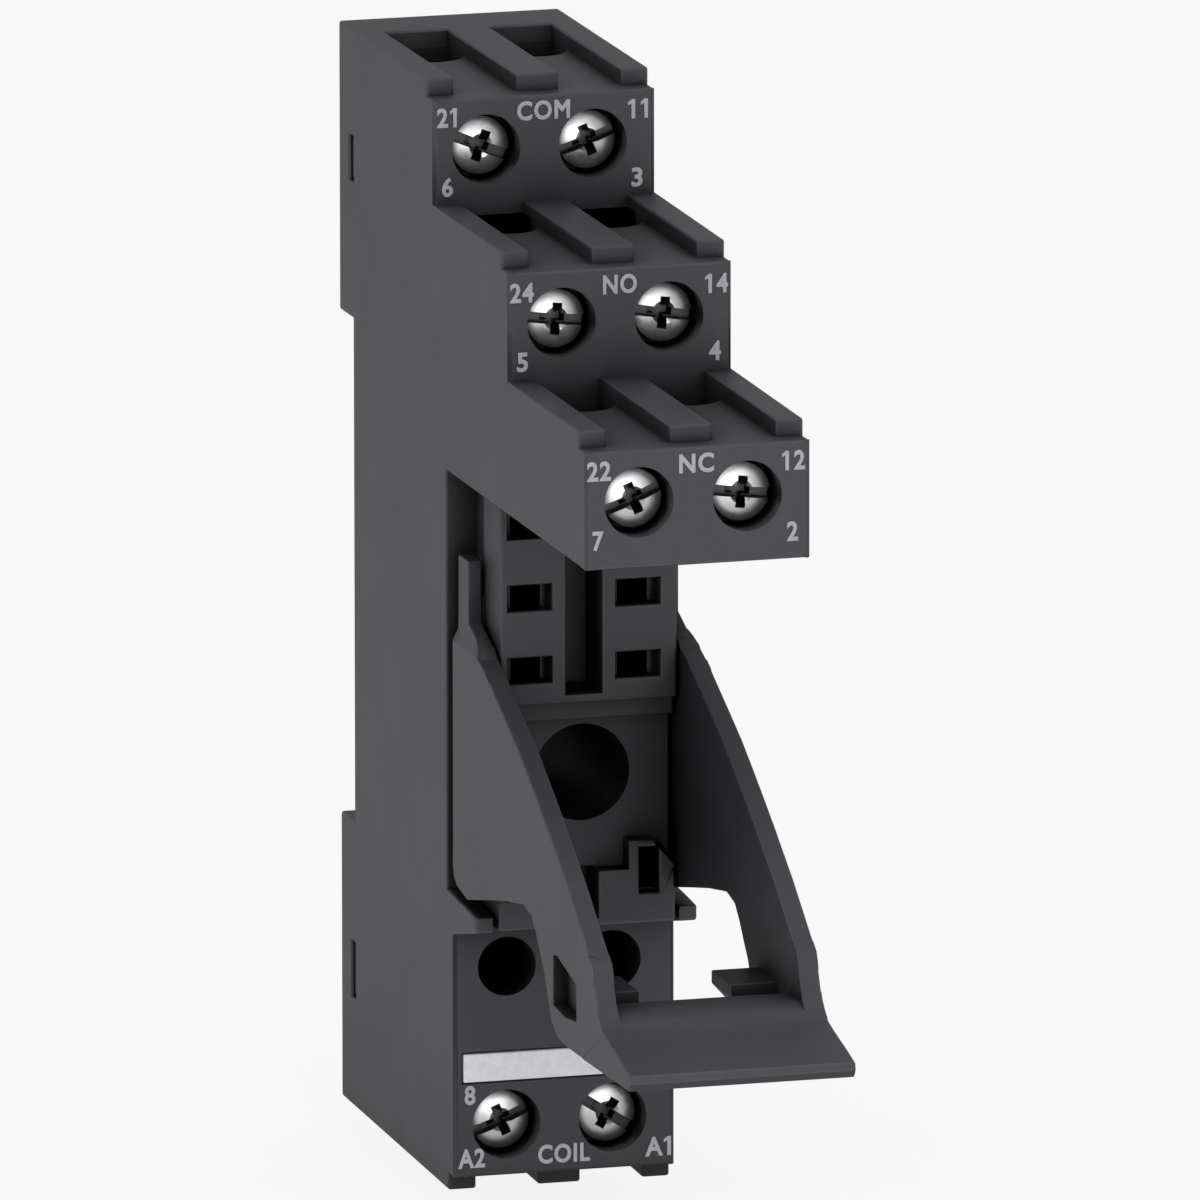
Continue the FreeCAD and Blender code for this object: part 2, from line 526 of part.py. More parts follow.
def make_lever():
    """Two side arms and the handle between them, one moulding, with its pivot pins."""
    arm = from_pivot([
        (-0.9, 4.1), (5.6, 4.3), (7.1, 4.8), (8.2, 5.25), (9.3, 5.75), (12.5, 7.15),
        (15.6, 8.55), (18.4, 10.05), (21.1, 11.55), (23.7, 13.05), (27.8, 15.55),
        (30.1, 17.15), (32.45, 18.75), (33.3, 19.3), (33.6, 19.9), (33.8, 20.5),
        (34.4, 21.8), (34.8, 22.4), (35.3, 22.9), (36.0, 23.4), (37.5, 23.8), (40.8, 24.5),
        (42.4, 24.9), (42.5, 25.45), (42.1, 26.0), (35.2, 26.15), (26.8, 26.25),
        (24.6, 26.0), (23.5, 25.4), (22.6, 24.0), (21.6, 22.3), (20.65, 21.3),
        (19.6, 20.1), (18.5, 19.15), (16.5, 18.75), (12.1, 19.45), (7.6, 20.35),
        (2.6, 21.4), (0.2, 21.0), (-0.7, 20.35), (-0.9, 19.5)])
    neck = from_pivot([(-0.8, -1.75), (1.6, -1.75), (1.6, 2.5), (4.6, 3.6), (5.6, 4.4),
                       (-0.8, 4.4)])
    parts = both(prism(arm, ARM_IN, ARM_OUT)) + both(prism(neck, ARM_IN, ARM_NECK))
    shoulder = plate_xh([(ARM_NECK - 0.1, PIVOT_H - 3.3), (ARM_NECK, PIVOT_H - 3.3),
                         (ARM_OUT, PIVOT_H - 4.15), (ARM_OUT, PIVOT_H - 4.5),
                         (ARM_NECK - 0.1, PIVOT_H - 4.5)], PIVOT_F - 0.8, PIVOT_F + 4.0)
    parts += both(shoulder)
    handle = from_pivot([(31.6, 22.4), (34.4, 22.4), (35.3, 22.9), (36.0, 23.4),
                         (37.5, 23.8), (40.8, 24.5), (42.4, 24.9), (42.5, 25.45),
                         (42.1, 26.0), (31.0, 26.25)])
    parts.append(prism(handle, -ARM_OUT, ARM_OUT))
    base = PIVOT_H - 24.7
    lug = plate_xh([(6.5, base), (6.5, base + 2.4), (3.2, base + 2.4), (3.2, base + 1.5),
                    (4.2, base + 0.4)], PIVOT_F + 24.0, PIVOT_F + 28.6)
    parts += both(lug)
    parts += both(bar_x(PIN_R, PIN_IN, ARM_IN + OVER, PIVOT_F, PIVOT_H))
    window = from_pivot([(23.8, 20.65), (24.6, 20.5), (29.4, 21.5), (29.4, 24.0),
                         (26.7, 24.3), (23.8, 24.05)])
    return join(parts).cut(both(prism(window, ARM_IN + 0.35, ARM_OUT + OVER))).removeSplitter()


def make_marker():
    """White marker strip let into the front above the coil screws."""
    return blk(-MARK_X, MARK_X, COIL_F - MARK_DEEP, COIL_F + MARK_PROUD, MARK_LOW,
               MARK_LOW + MARK_H)


def export(name, shape):
    if not shape.isValid() or len(shape.Solids) != 1:
        print("CHECK", name, "valid", shape.isValid(), "solids", len(shape.Solids))
    shape.Solids[0].exportStep("parts/%s.step" % name)
    b = shape.BoundBox
    print("%-16s %7.1f mm3  x %6.2f %6.2f  y %6.2f %6.2f  z %6.2f %6.2f" % (
        name, shape.Volume, b.XMin, b.XMax, b.YMin, b.YMax, b.ZMin, b.ZMax))


export("housing", make_housing())
export("rear_cover", make_cover())
export("rail_foot", make_foot())
export("foot_spring", make_spring())
export("retainer_lever", make_lever())
export("marker_strip", make_marker())
for key in TERMINALS:
    export("screw_" + key, make_screw(key))
    export("cage_" + key, make_cage(key))
    export("strip_" + key, make_strip(key))
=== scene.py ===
"""Looks of a screw-terminal relay socket for a 35 mm rail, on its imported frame."""
from math import cos, pi, radians, sin

import bmesh
import bpy
from bpy.props import FloatProperty, FloatVectorProperty, PointerProperty
from mathutils import Matrix, Vector
from mathutils.bvhtree import BVHTree


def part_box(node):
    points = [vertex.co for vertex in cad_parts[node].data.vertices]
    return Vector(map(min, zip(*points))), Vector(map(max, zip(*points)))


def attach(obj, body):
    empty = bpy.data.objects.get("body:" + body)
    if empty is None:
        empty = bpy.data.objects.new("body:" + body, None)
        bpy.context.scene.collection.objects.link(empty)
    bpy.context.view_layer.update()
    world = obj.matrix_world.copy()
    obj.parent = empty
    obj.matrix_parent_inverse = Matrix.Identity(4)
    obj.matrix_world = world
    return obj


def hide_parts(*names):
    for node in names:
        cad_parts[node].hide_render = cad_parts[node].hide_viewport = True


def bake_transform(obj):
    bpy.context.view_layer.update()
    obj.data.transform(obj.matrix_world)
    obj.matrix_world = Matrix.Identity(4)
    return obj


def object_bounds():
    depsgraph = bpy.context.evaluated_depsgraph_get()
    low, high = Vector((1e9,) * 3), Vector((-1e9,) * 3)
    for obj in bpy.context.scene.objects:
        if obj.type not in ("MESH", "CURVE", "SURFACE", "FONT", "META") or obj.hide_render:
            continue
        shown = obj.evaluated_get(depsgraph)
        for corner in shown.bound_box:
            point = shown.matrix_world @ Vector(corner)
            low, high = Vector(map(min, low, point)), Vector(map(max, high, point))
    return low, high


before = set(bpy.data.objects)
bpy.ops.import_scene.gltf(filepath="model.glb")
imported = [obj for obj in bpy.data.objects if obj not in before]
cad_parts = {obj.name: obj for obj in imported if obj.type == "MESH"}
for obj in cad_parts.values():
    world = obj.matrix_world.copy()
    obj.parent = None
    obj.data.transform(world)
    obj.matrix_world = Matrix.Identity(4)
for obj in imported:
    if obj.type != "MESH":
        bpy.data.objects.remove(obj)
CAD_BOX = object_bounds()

bl_info = {
    "name": "Relay Socket",
    "version": (1, 0, 0),
    "blender": (4, 5, 0),
    "location": "3D View > Sidebar > Relay Socket",
    "description": "Surfaces, lettering and studio for a screw-terminal relay socket",
    "category": "Object",
}

MM = 0.001
# corners of a CAD node's triangles that lie closer than this are one corner
MERGE = 0.002 * MM

TERMINALS = ("21", "11", "24", "14", "22", "12", "a2", "a1")

# front face of each tier and height of its ledge, and how far from the middle the wire holes
# in the ledges reach (mm)
FRONTS = {"com": -20.35, "no": -38.85, "nc": -57.55, "coil": -24.95}
LEDGES = {"com": 36.5, "no": 28.15, "nc": 19.6, "coil": -37.13}
WIRE_HOLES = 5.9

# edges that are rounded: the least angle between their faces (degrees), the least length (mm)
HOUSING_EDGES = (30, 0.6)
LEVER_EDGES = (40, 1.2)

# outer faces of the lever's arms and of their narrower necks, from the middle (mm)
ARM_SIDE = 7.8
NECK_SIDE = 7.4
# the shoulder of each arm slopes from the neck out to the arm, and ends short of the arm's
# front edge: forward place of that end, height of its upper corner, which stands proud, and
# forward place of the neck's front there (mm)
SHOULDER_END = -29.75
SHOULDER_TOP = 1.05
NECK_FRONT = -29.53
# top of the arm at that end, and forward place of the arm's upper front corner (mm)
ARM_TOP = 0.1
ARM_CORNER = -31.35
# wedge that carries the slope on to the arm's front edge: corners across, forward and up (mm),
# the inner ones a little way into the neck
INSIDE = NECK_SIDE - 0.1
SHOULDER_WEDGE = (
    (INSIDE, NECK_FRONT, SHOULDER_TOP), (NECK_SIDE, NECK_FRONT, SHOULDER_TOP),
    (INSIDE, SHOULDER_END, 0.05), (ARM_SIDE, SHOULDER_END, ARM_TOP),
    (ARM_SIDE, SHOULDER_END, 0.2), (INSIDE, -30.35, 0.75), (7.541, -30.35, 0.75),
    (ARM_SIDE, -31.03, 0.2), (ARM_SIDE, -31.22, 0.05), (INSIDE, -31.22, 0.05))

# clamp screw (mm): radius of the domed crown, depth of the head, radius of the shank, and the
# bevels under the head and at the tip
CROWN = 6.5
HEAD_DEPTH = 2.2
SHANK = 1.42
HEAD_BEVEL = 0.1
TIP_BEVEL = 0.3

# recess punched in the head (mm): the slot's length, depth on both sides of the head's top and
# width, the same of each pair of the cross's wings, and what the wings narrow to at the bottom
SLOT = (5.2, 2.2, 0.75)
WINGS = (3.1, 3.6, 0.86)
WINGS_TAPER = (0.45, 1.0, 0.6)
# the lip in the middle of the cross, a shallow cone left out of the painted shade: radius, depth,
# place of its middle
LIP_RADIUS = 0.95
LIP_DEPTH = 0.7
LIP_PLACE = 0.31

# angle of each screw's slot, anticlockwise seen from the front, in degrees
SLOT_TURNS = {"21": -22, "11": 20, "24": -6, "14": -8, "22": 22, "12": -6, "a2": 22, "a1": -32}

# lettering: height (mm), space between letters, and weight added to the typeface's outline
LETTER_HEIGHT = 1.35
LETTER_SPACE = 1.12
LETTER_WEIGHT = 0.034
# words on each tier: the word, its middle across and up, and its width (mm)
PLATES = {
    "com": [("21", -6.83, 35.26, 1.40), ("COM", -0.05, 35.44, 3.72), ("11", 6.59, 35.18, 1.41),
            ("6", -6.80, 30.48, 0.78), ("3", 6.52, 30.46, 0.78)],
    "no": [("24", -6.84, 26.78, 1.67), ("NO", -0.01, 27.01, 2.37), ("14", 6.73, 26.70, 1.61),
           ("5", -6.81, 22.03, 0.78), ("4", 6.62, 22.09, 0.85)],
    "nc": [("22", -6.85, 18.30, 1.66), ("NC", -0.10, 18.49, 2.42), ("12", 6.62, 18.30, 1.60),
           ("7", -6.92, 13.56, 0.78), ("2", 6.55, 13.48, 0.78)],
    "coil": [("8", -6.65, -31.43, 0.78), ("A2", -6.55, -35.82, 1.90),
             ("COIL", -0.02, -35.86, 3.67), ("A1", 6.62, -35.81, 1.84)],
}

# lamps: name, place and aim (m), width (m), power (W)
LAMPS = (("Top", (-0.1, -0.45, 1.0), (0, 0, 0), 0.5, 2.4),
         ("Left", (-0.95, -0.35, 0.4), (0, 0, 0), 0.5, 1.6),
         ("Bounce", (0.02, -0.36, -0.02), (0, -0.03, 0.02), 0.2, 0.36))
# paper floor: half its width (m), how far back its middle lies (m), gap under the foot (mm)
FLOOR_HALF = 1.5
FLOOR_BACK = 0.6
FLOOR_GAP = 0.05
# strength of the paper's glow, its share of the paper's light, and strength of the world: each
# as it lights the object, then as it is seen
FLOOR_GLOW = (0.75, 1.0)
FLOOR_SHARE = (0.5, 0.88)
WORLD_LIGHT = (0.42, 1.0)

# the photograph's viewpoint, fitted to the socket's straight edges: azimuth, elevation and
# roll (degrees), the point aimed at, then how far the camera lies right of it, above it and
# away from it (mm)
AZIMUTH, ELEVATION, ROLL = -16.004, 11.9806, -0.0616
AIM = (0, -16.55, 1.45)
SHIFT_RIGHT, SHIFT_UP = 4.7793, -0.61809
DISTANCE = 2000.519
# focal length and sensor width (mm)
LENS, SENSOR = 883.59, 36


def linear(hex_colour):
    """An sRGB hex colour as linear red, green, blue and alpha."""
    values = [int(hex_colour[i:i + 2], 16) / 255 for i in (1, 3, 5)]
    return [v / 12.92 if v <= 0.04045 else ((v + 0.055) / 1.055) ** 2.4 for v in values] + [1.0]


def shade(colour, gain):
    """A linear colour made lighter or darker."""
    return [c * gain for c in colour[:3]] + [1.0]


class SocketSizes(bpy.types.PropertyGroup):
    """Sizes that the moulding tool and the press would set."""

    edge_round: FloatProperty(
        name="Edge rounding", description="Radius on the outer edges of the moulded pieces",
        default=0.25 * MM, min=0.0, unit="LENGTH", precision=5)
    lever_round: FloatProperty(
        name="Lever rounding", description="Radius on the edges of the retainer lever",
        default=0.14 * MM, min=0.0, unit="LENGTH", precision=5)
    marker_round: FloatProperty(
        name="Marker rounding", description="Radius on the edges of the marker strip",
        default=0.15 * MM, min=0.0, unit="LENGTH", precision=5)
    print_height: FloatProperty(
        name="Print thickness", description="How far the printed lettering stands proud",
        default=0.03 * MM, min=0.0, unit="LENGTH", precision=6)
    rim_round: FloatProperty(
        name="Screw rim rounding", description="Radius on the rim of each screw head",
        default=0.35 * MM, min=0.0, unit="LENGTH", precision=5)


def colour_property(name, description, hex_colour):
    """A colour setting whose default is given as an sRGB hex colour."""
    return FloatVectorProperty(name=name, description=description, size=4, min=0.0, max=1.0,
                               default=linear(hex_colour), subtype="COLOR")


class SocketColours(bpy.types.PropertyGroup):
    """Colours of the plastics, the print and the metals."""

    housing: colour_property("Housing", "Grey moulding compound of the housing", "#49494E")
    lever: colour_property("Lever", "Grey moulding compound of the lever", "#4B4B50")
    cover: colour_property("Cover", "Grey moulding compound of the rear cover", "#47474B")
    foot: colour_property("Rail foot", "Dark moulding compound of the rail foot", "#2B2B2E")
    marker: colour_property("Marker strip", "White moulding compound of the strip", "#F2F1F6")
    lettering: colour_property("Lettering", "Light grey printing ink", "#B9B9BE")
    zinc: colour_property("Zinc plating", "Plating on screws and cages", "#D6D6D8")
    brass: colour_property("Brass", "Rolled brass of the contact strips", "#C9A866")
    steel: colour_property("Spring steel", "Drawn wire of the foot's spring", "#9C9C9E")


# Materials


def add_node(tree, kind, values=None, links=None, **settings):
    """Add a shader node with its settings, its input values and what feeds its inputs."""
    node = tree.nodes.new("ShaderNode" + kind)
    for key, value in settings.items():
        setattr(node, key, value)
    for key, value in (values or {}).items():
        node.inputs[key].default_value = value
    for key, source in (links or {}).items():
        tree.links.new(source, node.inputs[key])
    return node


def new_material(name):
    """An empty material, its node tree and its shader."""
    material = bpy.data.materials.new(name)
    material.use_nodes = True
    return material, material.node_tree, material.node_tree.nodes["Principled BSDF"]


def millimetres(tree):
    """Object coordinates in millimetres, so that a scale of 2 is a pattern of half a mm."""
    place = add_node(tree, "TexCoord")
    return add_node(tree, "Mapping", {"Scale": (1000, 1000, 1000)},
                    {"Vector": place.outputs["Object"]}).outputs["Vector"]


def paint_nook_shade(tree, colour, reach, darkest, power=0.85):
    """Painted shade: corners, channels and holes are painted darker than the open faces.

    The reach is how far off a facing wall still counts, in millimetres. The darkest is what
    is left of the colour at the bottom of a hole, and a power over one darkens sooner.
    """
    nook = add_node(tree, "AmbientOcclusion", {"Distance": reach * MM}, samples=6)
    steep = add_node(tree, "Math", {1: power}, {0: nook.outputs["AO"]}, operation="POWER")
    depth = add_node(tree, "MapRange", {"From Min": 0.03, "From Max": 0.9,
                                        "To Min": darkest, "To Max": 1.0},
                     {"Value": steep.outputs["Value"]})
    return add_node(tree, "Mix", {0: 1.0}, {6: colour, 7: depth.outputs["Result"]},
                    data_type="RGBA", blend_type="MULTIPLY").outputs[2]


def moulded_polyamide(name, colour, roughness=0.5, reach=20, darkest=0.04):
    """Glass-filled polyamide, injection moulded: a dull skin with a fine eroded grain.

    The eye gets a soft, slightly uneven grey, faint clouds where the glass lies near the
    surface, and painted shade that darkens holes, recesses and the corners where faces meet.
    """
    material, tree, shader = new_material(name)
    place = millimetres(tree)
    # clouds of about 6 mm, and a grain drawn at 0.35 mm because the real 0.05 mm can't show
    clouds = add_node(tree, "TexNoise", {"Scale": 1 / 6, "Detail": 3.0, "Roughness": 0.55},
                      {"Vector": place})
    pits = add_node(tree, "TexNoise", {"Scale": 1 / 0.35, "Detail": 2.0}, {"Vector": place})
    body = add_node(tree, "Mix", {6: shade(colour, 0.90), 7: shade(colour, 1.10)},
                    {0: clouds.outputs["Fac"]}, data_type="RGBA")
    speck = add_node(tree, "MapRange", {"From Min": 0.3, "From Max": 0.7, "To Min": 0.95,
                                        "To Max": 1.05}, {"Value": pits.outputs["Fac"]})
    speckled = add_node(tree, "Mix", {0: 1.0}, {6: body.outputs[2],
                                                7: speck.outputs["Result"]},
                        data_type="RGBA", blend_type="MULTIPLY")
    # painted shade: first over the whole form, so that holes and recesses go dark, then over the
    # last 4 mm of each corner
    wide = paint_nook_shade(tree, speckled.outputs[2], reach, darkest)
    close = paint_nook_shade(tree, wide, 4, min(darkest + 0.08, 1.0), 1.5)
    tree.links.new(close, shader.inputs["Base Color"])
    gloss = add_node(tree, "MapRange", {"To Min": roughness - 0.06, "To Max": roughness + 0.06},
                     {"Value": clouds.outputs["Fac"]})
    tree.links.new(gloss.outputs["Result"], shader.inputs["Roughness"])
    bump = add_node(tree, "Bump", {"Strength": 0.35, "Distance": 0.02 * MM},
                    {"Height": pits.outputs["Fac"]})
    tree.links.new(bump.outputs["Normal"], shader.inputs["Normal"])
    shader.inputs["IOR"].default_value = 1.53
    # the eroded skin scatters most of its gloss away
    shader.inputs["Specular IOR Level"].default_value = 0.25
    return material


def polyamide_pair(name, colour, highlighted=1.2, **skin):
    """A piece's polyamide, and a lighter copy for its rounded outer edges: a painted highlight."""
    return (moulded_polyamide("Moulded polyamide, " + name, colour, **skin),
            moulded_polyamide("Moulded polyamide, rubbed edges, " + name,
                              shade(colour, highlighted), **skin))


def plated_steel(name, colour, roughness, marks):
    """Steel with bright zinc plating, barrel plated: fine scuffs and a soft uneven shine.

    The scuffs, marks millimetres across, come from tumbling against the other pieces.
    """
    material, tree, shader = new_material(name)
    place = millimetres(tree)
    scuffs = add_node(tree, "TexNoise", {"Scale": 1 / marks, "Detail": 4.0,
                                         "Roughness": 0.6}, {"Vector": place})
    tint = add_node(tree, "Mix", {6: shade(colour, 0.82), 7: shade(colour, 1.12)},
                    {0: scuffs.outputs["Fac"]}, data_type="RGBA")
    # painted shade: only slots and recesses are darkened
    tree.links.new(paint_nook_shade(tree, tint.outputs[2], 0.7, 0.04), shader.inputs["Base Color"])
    gloss = add_node(tree, "MapRange", {"To Min": roughness - 0.08, "To Max": roughness + 0.1},
                     {"Value": scuffs.outputs["Fac"]})
    tree.links.new(gloss.outputs["Result"], shader.inputs["Roughness"])
    bump = add_node(tree, "Bump", {"Strength": 0.2, "Distance": 0.03 * MM},
                    {"Height": scuffs.outputs["Fac"]})
    tree.links.new(bump.outputs["Normal"], shader.inputs["Normal"])
    shader.inputs["Metallic"].default_value = 1.0
    return material


def rolled_brass(name, colour):
    """Brass strip, rolled and punched: a warm metal with fine lines along the strip."""
    material, tree, shader = new_material(name)
    place = millimetres(tree)
    # rolling lines 0.3 mm apart, drawn coarser than the real ones so that they show
    lines = add_node(tree, "TexWave", {"Scale": 1 / 0.3, "Distortion": 1.5, "Detail": 2.0},
                     {"Vector": place}, bands_direction="X")
    tint = add_node(tree, "Mix", {6: shade(colour, 0.85), 7: shade(colour, 1.08)},
                    {0: lines.outputs["Fac"]}, data_type="RGBA")
    # painted shade: deep in the contact windows the brass is darkened, to black at the bottom
    tree.links.new(paint_nook_shade(tree, tint.outputs[2], 12, 0.0, 2.5), shader.inputs["Base Color"])
    shader.inputs["Metallic"].default_value = 1.0
    shader.inputs["Roughness"].default_value = 0.35
    return material


def printing_ink(name, colour):
    """Pad-printed ink: a thin matt film, a little thinner in places so the grey shows."""
    material, tree, shader = new_material(name)
    place = millimetres(tree)
    # thin patches of 0.4 mm, the size of a dot of the pad
    patches = add_node(tree, "TexNoise", {"Scale": 1 / 0.4, "Detail": 2.0}, {"Vector": place})
    tint = add_node(tree, "Mix", {6: shade(colour, 0.78), 7: shade(colour, 1.06)},
                    {0: patches.outputs["Fac"]}, data_type="RGBA")
    tree.links.new(tint.outputs[2], shader.inputs["Base Color"])
    shader.inputs["Roughness"].default_value = 0.65
    return material


# Shaping


def merged_copy(node_name):
    """The CAD node's loose triangles with their shared corners merged, in a new bmesh."""
    bm = bmesh.new()
    bm.from_mesh(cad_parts[node_name].data)
    bmesh.ops.remove_doubles(bm, verts=bm.verts, dist=MERGE)
    return bm


def joined_copy(node_name):
    """The CAD node's loose triangles joined into whole flat faces, in a new bmesh."""
    bm = merged_copy(node_name)
    bmesh.ops.dissolve_limit(bm, angle_limit=radians(0.5), verts=bm.verts, edges=bm.edges)
    # rounding tears a face that has many corners, so the large ones go back to triangles
    bmesh.ops.triangulate(bm, faces=[face for face in bm.faces if len(face.verts) > 12])
    bmesh.ops.recalc_face_normals(bm, faces=bm.faces)
    return bm


def edge_middle(edge):
    """The point half way along an edge."""
    return (edge.verts[0].co + edge.verts[1].co) / 2


def wire_hole_rim(edge):
    """Whether an edge is part of the crisp rim of a wire hole, behind the front of a ledge."""
    middle = edge_middle(edge)
    flat = abs(edge.verts[0].co.z - edge.verts[1].co.z) < 0.01 * MM
    return flat and abs(middle.x) < WIRE_HOLES * MM and any(
        abs(middle.z - height * MM) < 0.02 * MM and middle.y > (FRONTS[tier] + 0.5) * MM
        for tier, height in LEDGES.items())


def open_edges(bm, least_angle, least_length):
    """Sharp outward edges that daylight reaches, the ones that a mould leaves rounded."""
    tree = BVHTree.FromBMesh(bm)
    found = []
    for edge in bm.edges:
        if len(edge.link_faces) != 2 or not edge.is_convex:
            continue
        if edge.calc_length() < least_length * MM or wire_hole_rim(edge):
            continue
        if edge.calc_face_angle() < radians(least_angle):
            continue
        a, b = (face.normal for face in edge.link_faces)
        out = (a + b).normalized()
        # rays start just off the surface, so that they don't meet their own faces
        start = edge_middle(edge) + out * 0.02 * MM
        rays = (out, (out + a).normalized(), (out + b).normalized(), a, b)
        if any(tree.ray_cast(start, ray)[0] is None for ray in rays):
            found.append(edge)
    return found


def fill_shoulders(bm):
    """Close the small notch between each lever arm's shoulder and the arm's front edge."""
    for vert in bm.verts:
        at_end = abs(vert.co.y - SHOULDER_END * MM) < 0.01 * MM
        if at_end and abs(vert.co.z - SHOULDER_TOP * MM) < 0.01 * MM:
            vert.co.y = NECK_FRONT * MM
    # the corners that were moved meet those of the neck
    bmesh.ops.remove_doubles(bm, verts=bm.verts, dist=0.005 * MM)
    for side in (-1, 1):
        corners = [bm.verts.new((side * x * MM, y * MM, z * MM)) for x, y, z in SHOULDER_WEDGE]
        bmesh.ops.convex_hull(bm, input=corners)
    bmesh.ops.recalc_face_normals(bm, faces=bm.faces)


def under_shoulder(edge):
    """Whether an edge lies where a shoulder's wedge meets the arm, flush with it."""
    return all(abs(vert.co.x) > (ARM_SIDE - 0.01) * MM
               and (ARM_CORNER - 0.05) * MM < vert.co.y < (SHOULDER_END + 0.05) * MM
               and abs(vert.co.z - ARM_TOP * MM) < 0.08 * MM for vert in edge.verts)


def round_edges(bm, edges, radius, segments=2):
    """Round the given edges; the rounded faces take the second material, the lighter one that
    paints a highlight on them.
    """
    rounded = bmesh.ops.bevel(bm, geom=edges, offset=radius, offset_type="WIDTH",
                              segments=segments, profile=0.5, affect="EDGES",
                              clamp_overlap=False, material=-1)
    # the rounded faces get the painted highlight
    for face in rounded["faces"]:
        face.material_index = 1
    bmesh.ops.dissolve_limit(bm, angle_limit=radians(0.3), verts=bm.verts, edges=bm.edges)


def add_piece(name, bm, body, materials, replaces=()):
    """Make a piece from a bmesh: it rides on a body and stands for the CAD nodes named.

    With no body it is left loose.
    """
    mesh = bpy.data.meshes.new(name)
    bm.to_mesh(mesh)
    bm.free()
    piece = bpy.data.objects.new(name, mesh)
    bpy.context.scene.collection.objects.link(piece)
    for material in materials:
        mesh.materials.append(material)
    if body:
        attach(piece, body)
    if replaces:
        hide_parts(*replaces)
    return piece


def shade_round(piece, crease):
    """Smooth shading that breaks where two faces meet at more than the crease, in degrees."""
    for face in piece.data.polygons:
        face.use_smooth = True
    piece.data.set_sharp_from_angle(angle=radians(crease))


def soften(piece):
    """Smooth shading along the round faces only, so that the flat faces stay flat."""
    shade_round(piece, 25)
    normals = piece.modifiers.new("Weighted normals", "WEIGHTED_NORMAL")
    normals.keep_sharp = True
    normals.weight = 100


def dress(node_name, material):
    """Give a CAD node that stays its material."""
    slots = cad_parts[node_name].data.materials
    slots.clear()
    slots.append(material)


# Moulded pieces


class SOCKET_OT_housing(bpy.types.Operator):
    """Housing moulding with rounded outer edges"""

    bl_idname = "relay_socket.housing"
    bl_label = "Housing"

    def execute(self, context):
        sizes, colours = context.scene.socket_sizes, context.scene.socket_colours
        bm = joined_copy("housing")
        edges = open_edges(bm, *HOUSING_EDGES)
        if not edges:
            raise RuntimeError("the housing has no outer edges to round")
        round_edges(bm, edges, sizes.edge_round)
        piece = add_piece("housing_moulding", bm, "base",
                          polyamide_pair("housing", colours.housing),
                          ["housing"])
        soften(piece)
        return {"FINISHED"}


class SOCKET_OT_lever(bpy.types.Operator):
    """Retainer lever with rounded edges"""

    bl_idname = "relay_socket.lever"
    bl_label = "Retainer Lever"

    def execute(self, context):
        sizes, colours = context.scene.socket_sizes, context.scene.socket_colours
        bm = joined_copy("retainer_lever")
        fill_shoulders(bm)
        edges = [edge for edge in open_edges(bm, *LEVER_EDGES) if not under_shoulder(edge)]
        if not edges:
            raise RuntimeError("the lever has no outer edges to round")
        round_edges(bm, edges, sizes.lever_round)
        # the lever's edges get a brighter painted highlight, and its painted shade reaches 34 mm
        piece = add_piece("lever_moulding", bm, "lever",
                          polyamide_pair("lever", colours.lever, 1.3, reach=34),
                          ["retainer_lever"])
        soften(piece)
        return {"FINISHED"}


class SOCKET_OT_back(bpy.types.Operator):
    """Rear cover and rail foot with rounded outer edges"""

    bl_idname = "relay_socket.back"
    bl_label = "Rear Cover and Rail Foot"

    def execute(self, context):
        sizes, colours = context.scene.socket_sizes, context.scene.socket_colours
        rows = (("rear_cover", "cover_moulding", "base", "cover_plastic",
                 polyamide_pair("cover", colours.cover)),
                ("rail_foot", "foot_moulding", "foot", "foot_plastic",
                 polyamide_pair("rail foot", colours.foot, roughness=0.42)))
        for node_name, name, body, slot, plastics in rows:
            bm = joined_copy(node_name)
            round_edges(bm, open_edges(bm, *HOUSING_EDGES), sizes.edge_round)
            soften(add_piece(name, bm, body, plastics, [node_name]))
        return {"FINISHED"}


class SOCKET_OT_marker(bpy.types.Operator):
    """White marker strip with rounded edges"""

    bl_idname = "relay_socket.marker"
    bl_label = "Marker Strip"

    def execute(self, context):
        sizes, colours = context.scene.socket_sizes, context.scene.socket_colours
        bm = joined_copy("marker_strip")
        round_edges(bm, list(bm.edges), sizes.marker_round, 3)
        # the strip's edges get no painted highlight, and its painted shade is faint
        plastics = polyamide_pair("marker strip", colours.marker, 1.0, roughness=0.45,
                                  darkest=0.9)
        soften(add_piece("marker_moulding", bm, "base", plastics,
                         ["marker_strip"]))
        return {"FINISHED"}


# Metal pieces


class SOCKET_OT_spring(bpy.types.Operator):
    """Spring between the rear cover's peg and the rail foot"""

    bl_idname = "relay_socket.spring"
    bl_label = "Foot Spring"

    def execute(self, context):
        colours = context.scene.socket_colours
        bm = merged_copy("foot_spring")
        bmesh.ops.recalc_face_normals(bm, faces=bm.faces)
        steel = plated_steel("Drawn spring steel", colours.steel, 0.3, 0.2)
        spring = add_piece("spring_wire", bm, None, (steel,), ["foot_spring"])
        shade_round(spring, 40)
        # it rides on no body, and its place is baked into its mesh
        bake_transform(spring)
        return {"FINISHED"}


